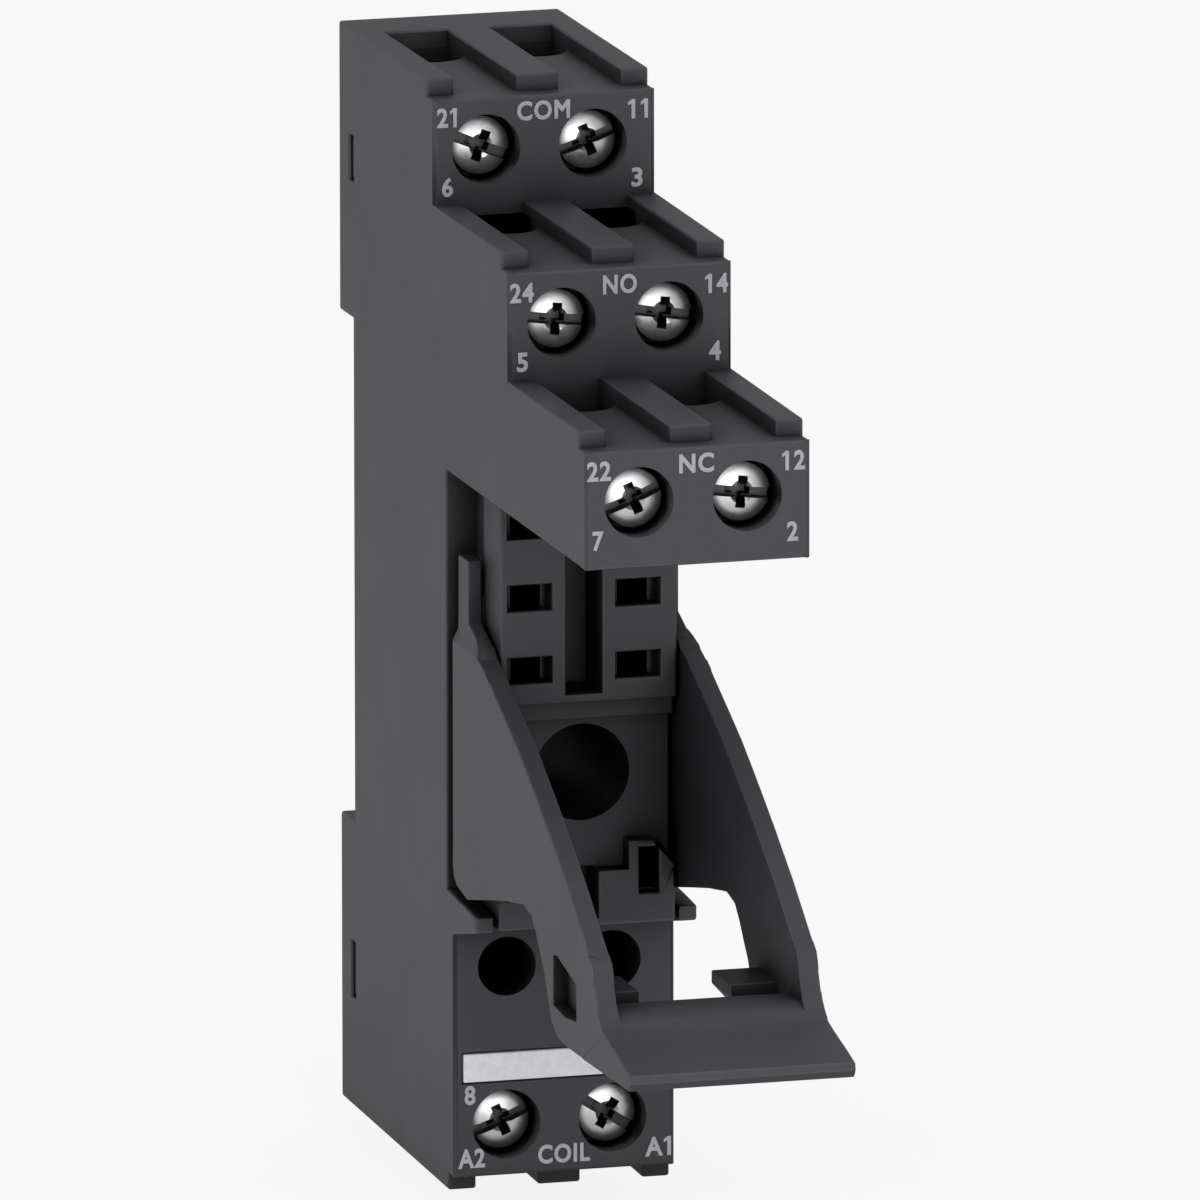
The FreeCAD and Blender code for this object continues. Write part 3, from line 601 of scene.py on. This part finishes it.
def screw_blank(radius, length, rim_round):
    """A screw before it is punched: crown up against -Y, the middle of the crown at zero."""
    # half section from the middle of the crown, over the rim, to the tip of the shank
    dome, under, shank = CROWN * MM, HEAD_DEPTH * MM, SHANK * MM
    bevel, tip, edge, steps = HEAD_BEVEL * MM, TIP_BEVEL * MM, radius - rim_round, 6
    crown = [(x, dome - (dome * dome - x * x) ** 0.5)
             for x in (edge * i / steps for i in range(steps + 1))]
    rim = [(edge + rim_round * sin(a), crown[-1][1] + rim_round * (1 - cos(a)))
           for a in (radians(45), radians(67), radians(90))]
    section = crown + rim + [
        (radius, under - bevel), (radius - bevel, under), (shank, under),
        (shank, length - tip), (shank - tip, length), (0, length)]
    bm = bmesh.new()
    verts = [bm.verts.new((x, y, 0)) for x, y in section]
    edges = [bm.edges.new(pair) for pair in zip(verts, verts[1:])]
    bmesh.ops.spin(bm, geom=verts + edges, cent=(0, 0, 0), axis=(0, 1, 0), angle=2 * pi,
                   steps=64, use_merge=True)
    bmesh.ops.remove_doubles(bm, verts=bm.verts, dist=0.001 * MM)
    bmesh.ops.recalc_face_normals(bm, faces=bm.faces)
    return bm


def screw_punch(turn, place):
    """The slot and the tapered cross that the head is punched with, as a mesh."""
    bm = bmesh.new()
    slot = bmesh.ops.create_cube(bm, size=1.0)["verts"]
    bmesh.ops.scale(bm, vec=Vector(SLOT) * MM, verts=slot)
    lip = bmesh.ops.create_cone(bm, cap_ends=True, segments=24, radius1=LIP_RADIUS * MM,
                                radius2=0.01 * MM, depth=LIP_DEPTH * MM,
                                matrix=Matrix.Rotation(radians(-90), 4, "X"))["verts"]
    bmesh.ops.translate(bm, verts=lip, vec=(0, LIP_PLACE * MM, 0))
    # the lip's faces are left out of the painted shade
    bright = {face for vert in lip for face in vert.link_faces}
    for angle in (0, 90):
        wing = bmesh.ops.create_cube(bm, size=1.0)["verts"]
        bmesh.ops.scale(bm, vec=Vector(WINGS) * MM, verts=wing)
        bmesh.ops.scale(bm, vec=WINGS_TAPER, verts=[v for v in wing if v.co.y > 0])
        bmesh.ops.rotate(bm, verts=wing, cent=(0, 0, 0),
                         matrix=Matrix.Rotation(radians(angle), 3, "Y"))
    bmesh.ops.rotate(bm, verts=bm.verts, cent=(0, 0, 0),
                     matrix=Matrix.Rotation(-radians(turn), 3, "Y"))
    bmesh.ops.translate(bm, verts=bm.verts, vec=place)
    # its faces leave the recess in painted shade, the head's second material; the lip keeps the
    # plain zinc
    for face in bm.faces:
        face.material_index = 0 if face in bright else 1
    mesh = bpy.data.meshes.new("punch")
    bm.to_mesh(mesh)
    bm.free()
    return mesh


def punch_out(bm, punch_mesh):
    """The bmesh with the punch taken out of it, as a new bmesh."""
    mesh = bpy.data.meshes.new("blank")
    bm.to_mesh(mesh)
    bm.free()
    blank = bpy.data.objects.new("blank", mesh)
    punch = bpy.data.objects.new("punch", punch_mesh)
    for item in (blank, punch):
        bpy.context.scene.collection.objects.link(item)
    cut = blank.modifiers.new("Punch", "BOOLEAN")
    cut.operation, cut.solver, cut.object, cut.use_self = "DIFFERENCE", "EXACT", punch, True
    graph = bpy.context.evaluated_depsgraph_get()
    result = bmesh.new()
    result.from_mesh(blank.evaluated_get(graph).to_mesh())
    for item, data in ((blank, mesh), (punch, punch_mesh)):
        bpy.data.objects.remove(item)
        bpy.data.meshes.remove(data)
    return result


class SOCKET_OT_screws(bpy.types.Operator):
    """Clamp screws with a slot and a cross in each head"""

    bl_idname = "relay_socket.screws"
    bl_label = "Clamp Screws"

    def execute(self, context):
        sizes, colours = context.scene.socket_sizes, context.scene.socket_colours
        steel = plated_steel("Zinc-plated steel, screws", colours.zinc, 0.3, 0.5)
        # painted shade: the recess gets the zinc darkened to about a sixth
        punched = plated_steel("Zinc-plated steel, recess in painted shade", shade(colours.zinc, 0.16),
                               0.45, 0.3)
        for key in TERMINALS:
            low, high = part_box("screw_" + key)
            place = ((low[0] + high[0]) / 2, low[1], (low[2] + high[2]) / 2)
            bm = screw_blank((high[0] - low[0]) / 2, high[1] - low[1], sizes.rim_round)
            bmesh.ops.translate(bm, verts=bm.verts, vec=place)
            bm = punch_out(bm, screw_punch(SLOT_TURNS[key], place))
            piece = add_piece("clamp_screw_" + key, bm, "screw_" + key, (steel, punched),
                              ["screw_" + key])
            shade_round(piece, 32)
        return {"FINISHED"}


class SOCKET_OT_contacts(bpy.types.Operator):
    """Clamp cages and contact strips inside the housing"""

    bl_idname = "relay_socket.contacts"
    bl_label = "Cages and Contact Strips"

    def execute(self, context):
        colours = context.scene.socket_colours
        zinc = plated_steel("Zinc-plated steel, cages", shade(colours.zinc, 0.8), 0.4, 0.8)
        brass = rolled_brass("Rolled brass", colours.brass)
        for key in TERMINALS:
            dress("cage_" + key, zinc)
            dress("strip_" + key, brass)
        return {"FINISHED"}


# Lettering


def separate_glyphs(bm):
    """The vertices of each letter, from left to right."""
    left, glyphs = set(bm.verts), []
    while left:
        glyph, queue = set(), [left.pop()]
        while queue:
            vert = queue.pop()
            glyph.add(vert)
            near = {edge.other_vert(vert) for edge in vert.link_edges} & left
            left -= near
            queue += near
        glyphs.append(glyph)
    return sorted(glyphs, key=lambda glyph: min(v.co.x for v in glyph))


def flag_ones(bm, word):
    """Give each 1 its flag, because the 1 of this typeface is a plain bar."""
    glyphs = separate_glyphs(bm)
    if len(glyphs) != len(word):
        raise RuntimeError("the letters of %s run together" % word)
    for glyph, letter in zip(glyphs, word):
        if letter != "1":
            continue
        side, top = min(v.co.x for v in glyph), max(v.co.y for v in glyph)
        tall = top - min(v.co.y for v in glyph)
        # the flag starts inside the bar and slopes down to the left of it
        outline = [(side + 0.02, top), (side - 0.2 * tall, top - 0.16 * tall),
                   (side - 0.2 * tall, top - 0.32 * tall), (side + 0.02, top - 0.2 * tall)]
        face = bm.faces.new([bm.verts.new((x, y, -0.5)) for x, y in outline])
        grown = bmesh.ops.extrude_face_region(bm, geom=[face])["geom"]
        bmesh.ops.translate(bm, vec=(0, 0, 1),
                            verts=[item for item in grown if isinstance(item, bmesh.types.BMVert)])


def word_mesh(bm, word, across, up, width, front, thick):
    """Add a word, as a thin raised print on a front face, to the bmesh."""
    curve = bpy.data.curves.new("word", "FONT")
    curve.body = word
    curve.extrude = 0.5
    curve.space_character = LETTER_SPACE
    curve.bevel_depth = LETTER_WEIGHT
    curve.bevel_resolution = 0
    curve.resolution_u = 4
    text = bpy.data.objects.new("word", curve)
    bpy.context.scene.collection.objects.link(text)
    graph = bpy.context.evaluated_depsgraph_get()
    mesh = bpy.data.meshes.new_from_object(text.evaluated_get(graph))
    letters = bmesh.new()
    letters.from_mesh(mesh)
    bmesh.ops.remove_doubles(letters, verts=letters.verts, dist=1e-5)
    flag_ones(letters, word)
    bmesh.ops.recalc_face_normals(letters, faces=letters.faces)
    # to the middle, to size, upright, then to its place on the front
    low = [min(v.co[i] for v in letters.verts) for i in range(3)]
    high = [max(v.co[i] for v in letters.verts) for i in range(3)]
    bmesh.ops.translate(letters, verts=letters.verts,
                        vec=[-(a + b) / 2 for a, b in zip(low, high)])
    bmesh.ops.scale(letters, verts=letters.verts,
                    vec=(width * MM / (high[0] - low[0]),
                         LETTER_HEIGHT * MM / (high[1] - low[1]), thick))
    bmesh.ops.rotate(letters, verts=letters.verts, cent=(0, 0, 0),
                     matrix=Matrix.Rotation(radians(90), 3, "X"))
    bmesh.ops.translate(letters, verts=letters.verts,
                        vec=(across * MM, front - thick / 2, up * MM))
    placed = bpy.data.meshes.new("placed")
    letters.to_mesh(placed)
    letters.free()
    bm.from_mesh(placed)
    bpy.data.objects.remove(text)
    bpy.data.meshes.remove(mesh)
    bpy.data.meshes.remove(placed)
    bpy.data.curves.remove(curve)


class SOCKET_OT_lettering(bpy.types.Operator):
    """Terminal numbers and circuit words on the four front plates"""

    bl_idname = "relay_socket.lettering"
    bl_label = "Lettering"

    def execute(self, context):
        sizes, colours = context.scene.socket_sizes, context.scene.socket_colours
        ink = printing_ink("Pad-printed ink", colours.lettering)
        for tier, words in PLATES.items():
            bm = bmesh.new()
            for word, across, up, width in words:
                word_mesh(bm, word, across, up, width, FRONTS[tier] * MM, sizes.print_height)
            add_piece("lettering_" + tier, bm, "base", (ink,))
        return {"FINISHED"}


# Studio


def lit_and_seen(tree, lit, seen):
    """One level for the light that falls on the object, another for what the camera sees.

    The second also holds for a view through something clear.
    """
    path = add_node(tree, "LightPath")
    sight = add_node(tree, "Math", None, {0: path.outputs["Is Camera Ray"],
                                          1: path.outputs["Is Transmission Ray"]},
                     operation="MAXIMUM")
    return add_node(tree, "MapRange", {"To Min": lit, "To Max": seen},
                    {"Value": sight.outputs["Value"]}).outputs["Result"]


def add_floor(scene):
    """Matt paper under the lowest point of the foot, lit from the front as by a soft box."""
    bm = bmesh.new()
    bmesh.ops.create_grid(bm, x_segments=1, y_segments=1, size=FLOOR_HALF)
    bmesh.ops.translate(bm, verts=bm.verts, vec=(0, FLOOR_BACK, CAD_BOX[0][2] - FLOOR_GAP * MM))
    mesh = bpy.data.meshes.new("studio_floor")
    bm.to_mesh(mesh)
    bm.free()
    floor = bpy.data.objects.new("studio_floor", mesh)
    scene.collection.objects.link(floor)
    material, tree, shader = new_material("Matt paper floor")
    shader.inputs["Base Color"].default_value = linear("#F2F2F2")
    shader.inputs["Roughness"].default_value = 0.9
    # the paper throws the light that it gets up at the object
    glow = add_node(tree, "Emission", {"Color": (1, 1, 1, 1)},
                    {"Strength": lit_and_seen(tree, *FLOOR_GLOW)})
    mixed = add_node(tree, "MixShader", None, {0: lit_and_seen(tree, *FLOOR_SHARE),
                                               1: shader.outputs["BSDF"],
                                               2: glow.outputs["Emission"]})
    tree.links.new(mixed.outputs["Shader"], tree.nodes["Material Output"].inputs["Surface"])
    mesh.materials.append(material)


def add_world(scene):
    """A plain white world, dimmer as light than as background."""
    world = bpy.data.worlds.new("Studio")
    scene.world = world
    world.use_nodes = True
    background = world.node_tree.nodes["Background"]
    background.inputs["Color"].default_value = (1, 1, 1, 1)
    world.node_tree.links.new(lit_and_seen(world.node_tree, *WORLD_LIGHT),
                              background.inputs["Strength"])


def add_lamp(scene, name, place, aim, size, power):
    """A square soft lamp that the camera doesn't see."""
    light = bpy.data.lights.new(name, "AREA")
    light.size, light.energy = size, power
    lamp = bpy.data.objects.new(name, light)
    scene.collection.objects.link(lamp)
    lamp.visible_camera = False
    lamp.location = place
    lamp.rotation_euler = (Vector(aim) - Vector(place)).to_track_quat("-Z", "Y").to_euler()


def add_camera(scene):
    """The camera at the photograph's viewpoint."""
    azimuth, elevation, roll = radians(AZIMUTH), radians(ELEVATION), radians(ROLL)
    back = Vector((sin(azimuth) * cos(elevation), -cos(azimuth) * cos(elevation),
                   sin(elevation)))
    level_x = Vector((cos(azimuth), sin(azimuth), 0))
    level_y = back.cross(level_x)
    right = level_x * cos(roll) + level_y * sin(roll)
    up = level_y * cos(roll) - level_x * sin(roll)
    place = (Vector(AIM) + SHIFT_RIGHT * right + SHIFT_UP * up + DISTANCE * back) * MM
    data = bpy.data.cameras.new("Camera")
    data.sensor_width = SENSOR
    data.lens = LENS
    data.clip_end = 10
    camera = bpy.data.objects.new("Camera", data)
    scene.collection.objects.link(camera)
    camera.matrix_world = (Matrix.Translation(place)
                           @ Matrix((right, up, back)).transposed().to_4x4())
    scene.camera = camera


class SOCKET_OT_studio(bpy.types.Operator):
    """Pale floor, soft lamps and the camera"""

    bl_idname = "relay_socket.studio"
    bl_label = "Studio"

    def execute(self, context):
        scene = context.scene
        add_floor(scene)
        add_world(scene)
        for lamp in LAMPS:
            add_lamp(scene, *lamp)
        add_camera(scene)
        scene.view_settings.view_transform = "Standard"
        return {"FINISHED"}


class SOCKET_PT_panel(bpy.types.Panel):
    """Lists the steps and their sizes and colours"""

    bl_label = "Relay Socket"
    bl_idname = "SOCKET_PT_panel"
    bl_space_type = "VIEW_3D"
    bl_region_type = "UI"
    bl_category = "Relay Socket"

    def draw(self, context):
        layout = self.layout
        for group in (context.scene.socket_sizes, context.scene.socket_colours):
            box = layout.box()
            for name in group.__annotations__:
                box.prop(group, name)
        column = layout.column(align=True)
        for step in STEPS:
            column.operator(step.bl_idname)


STEPS = (SOCKET_OT_housing, SOCKET_OT_lever, SOCKET_OT_back, SOCKET_OT_spring,
         SOCKET_OT_screws, SOCKET_OT_contacts, SOCKET_OT_marker, SOCKET_OT_lettering,
         SOCKET_OT_studio)
CLASSES = (SocketSizes, SocketColours) + STEPS + (SOCKET_PT_panel,)


def register():
    for item in CLASSES:
        bpy.utils.register_class(item)
    bpy.types.Scene.socket_sizes = PointerProperty(type=SocketSizes)
    bpy.types.Scene.socket_colours = PointerProperty(type=SocketColours)


def unregister():
    del bpy.types.Scene.socket_colours
    del bpy.types.Scene.socket_sizes
    for item in reversed(CLASSES):
        bpy.utils.unregister_class(item)


def main():
    register()
    bpy.ops.relay_socket.housing()
    bpy.ops.relay_socket.lever()
    bpy.ops.relay_socket.back()
    bpy.ops.relay_socket.spring()
    bpy.ops.relay_socket.screws()
    bpy.ops.relay_socket.contacts()
    bpy.ops.relay_socket.marker()
    bpy.ops.relay_socket.lettering()
    bpy.ops.relay_socket.studio()


if __name__ == "__main__":
    main()
